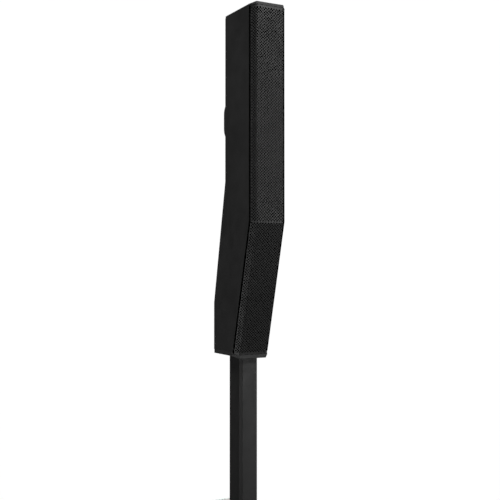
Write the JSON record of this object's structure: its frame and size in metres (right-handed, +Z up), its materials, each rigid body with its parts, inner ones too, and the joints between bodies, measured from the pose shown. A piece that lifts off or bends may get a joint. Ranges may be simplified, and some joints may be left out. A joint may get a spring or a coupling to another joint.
{
  "type": "column pa system",
  "caption": "Slim column loudspeaker array with a leaning lower half, on a plug-in rectangular pole over a ported subwoofer with a rear mixer amplifier panel.",
  "frame": {"origin": "on the floor, under the middle of the subwoofer", "axes": "+Z up along the pole, -Y to the front where the grilles face, +X to the right as seen from the front"},
  "size_m": [0.34, 0.46, 1.726],
  "materials": {
    "array_enamel": "satin textured enamel",
    "cap_black": "satin moulded",
    "grille_enamel": "satin powder coat",
    "foam_black": "open-cell foam",
    "baffle_black": "matt",
    "basket_black": "satin",
    "cone_black": "pressed paper",
    "surround_rubber": "matt",
    "magnet_steel": "plated",
    "screw_black": "black oxide",
    "board_green": "solder mask",
    "cable_black": "matt",
    "connector_black": "moulded",
    "contact_brass": "polished",
    "pole_enamel": "satin powder coat",
    "spigot_black": "moulded",
    "cabinet_coat": "textured polyurea coating on plywood",
    "panel_enamel": "fine satin",
    "heatsink_black": "black anodised",
    "supply_steel": "zinc plated",
    "foot_rubber": "matt",
    "handle_black": "moulded grain",
    "knob_black": "soft-touch",
    "latch_grey": "moulded",
    "light_green": "diffused lens"
  },
  "bodies": {
    "subwoofer": {"sub_cabinet": "cabinet_coat", "sub_baffle": "baffle_black", "sub_grille": "grille_enamel", "sub_foam": "foam_black", "grille_screws": "screw_black", "woofer_basket": "basket_black", "woofer_surround": "surround_rubber", "woofer_cone": "cone_black", "woofer_dust_cap": "cone_black", "woofer_magnet": "magnet_steel", "woofer_screws": "screw_black", "port_tubes": "baffle_black", "pole_socket": "spigot_black", "socket_connector": "connector_black", "side_handles": "handle_black", "rubber_feet": "foot_rubber", "amp_panel": "panel_enamel", "cabinet_screws": "screw_black", "heatsink": "heatsink_black", "amp_board": "board_green", "power_supply": "supply_steel", "power_inlet": "connector_black", "switch_bezel": "connector_black", "input_sockets": "connector_black", "line_jacks": "connector_black", "status_lights": "light_green"},
    "pole": {"pole_tube": "pole_enamel", "pole_top_spigot": "spigot_black", "pole_bottom_spigot": "spigot_black", "pole_contacts": "contact_brass", "pole_cable": "cable_black", "pole_screws": "screw_black"},
    "array": {"array_housing": "array_enamel", "array_top_cap": "cap_black", "array_bottom_cap": "cap_black", "upper_baffle": "baffle_black", "lower_baffle": "baffle_black", "array_grille": "grille_enamel", "array_foam": "foam_black", "driver_baskets": "basket_black", "driver_surrounds": "surround_rubber", "driver_cones": "cone_black", "driver_dust_caps": "cone_black", "driver_magnets": "magnet_steel", "driver_screws": "screw_black", "crossover_board": "board_green", "array_harness": "cable_black", "array_socket": "spigot_black", "array_connector": "connector_black", "rear_handle": "handle_black", "handle_screws": "screw_black", "cap_screws": "screw_black"},
    "power_rocker": {"power_rocker": "connector_black"},
    "socket_latch_1": {"socket_latch_1": "latch_grey"},
    "socket_latch_2": {"socket_latch_2": "latch_grey"},
    "mode_button": {"mode_button": "knob_black"},
    "level_knob_1": {"level_knob_1": "knob_black"},
    "level_knob_2": {"level_knob_2": "knob_black"},
    "level_knob_3": {"level_knob_3": "knob_black"},
    "level_knob_4": {"level_knob_4": "knob_black"}
  },
  "joints": [
    {"name": "pole_lift", "type": "slide", "parent": "subwoofer", "child": "pole", "axis": [0, 0, 1], "range_m": [0, 0.095]},
    {"name": "array_lift", "type": "slide", "parent": "pole", "child": "array", "axis": [0, 0, 1], "range_m": [0, 0.045]},
    {"name": "power_switch", "type": "hinge", "parent": "subwoofer", "child": "power_rocker", "pos_m": [-0.034, 0.209, 0.115], "axis": [-1, 0, 0], "range_deg": [0, 16]},
    {"name": "latch_1_press", "type": "slide", "parent": "subwoofer", "child": "socket_latch_1", "axis": [0, -1, 0], "range_m": [0, 0.0022], "stiffness_N_per_m": 250},
    {"name": "latch_2_press", "type": "slide", "parent": "subwoofer", "child": "socket_latch_2", "axis": [0, -1, 0], "range_m": [0, 0.0022], "stiffness_N_per_m": 250},
    {"name": "mode_press", "type": "slide", "parent": "subwoofer", "child": "mode_button", "axis": [0, -1, 0], "range_m": [0, 0.0025], "stiffness_N_per_m": 250},
    {"name": "level_1_turn", "type": "hinge", "parent": "subwoofer", "child": "level_knob_1", "pos_m": [-0.075, 0.216, 0.368], "axis": [0, 1, 0], "range_deg": [-150, 150]},
    {"name": "level_2_turn", "type": "hinge", "parent": "subwoofer", "child": "level_knob_2", "pos_m": [-0.025, 0.216, 0.368], "axis": [0, 1, 0], "range_deg": [-150, 150]},
    {"name": "level_3_turn", "type": "hinge", "parent": "subwoofer", "child": "level_knob_3", "pos_m": [0.025, 0.216, 0.368], "axis": [0, 1, 0], "range_deg": [-150, 150]},
    {"name": "level_4_turn", "type": "hinge", "parent": "subwoofer", "child": "level_knob_4", "pos_m": [0.075, 0.216, 0.368], "axis": [0, 1, 0], "range_deg": [-150, 150]}
  ]
}
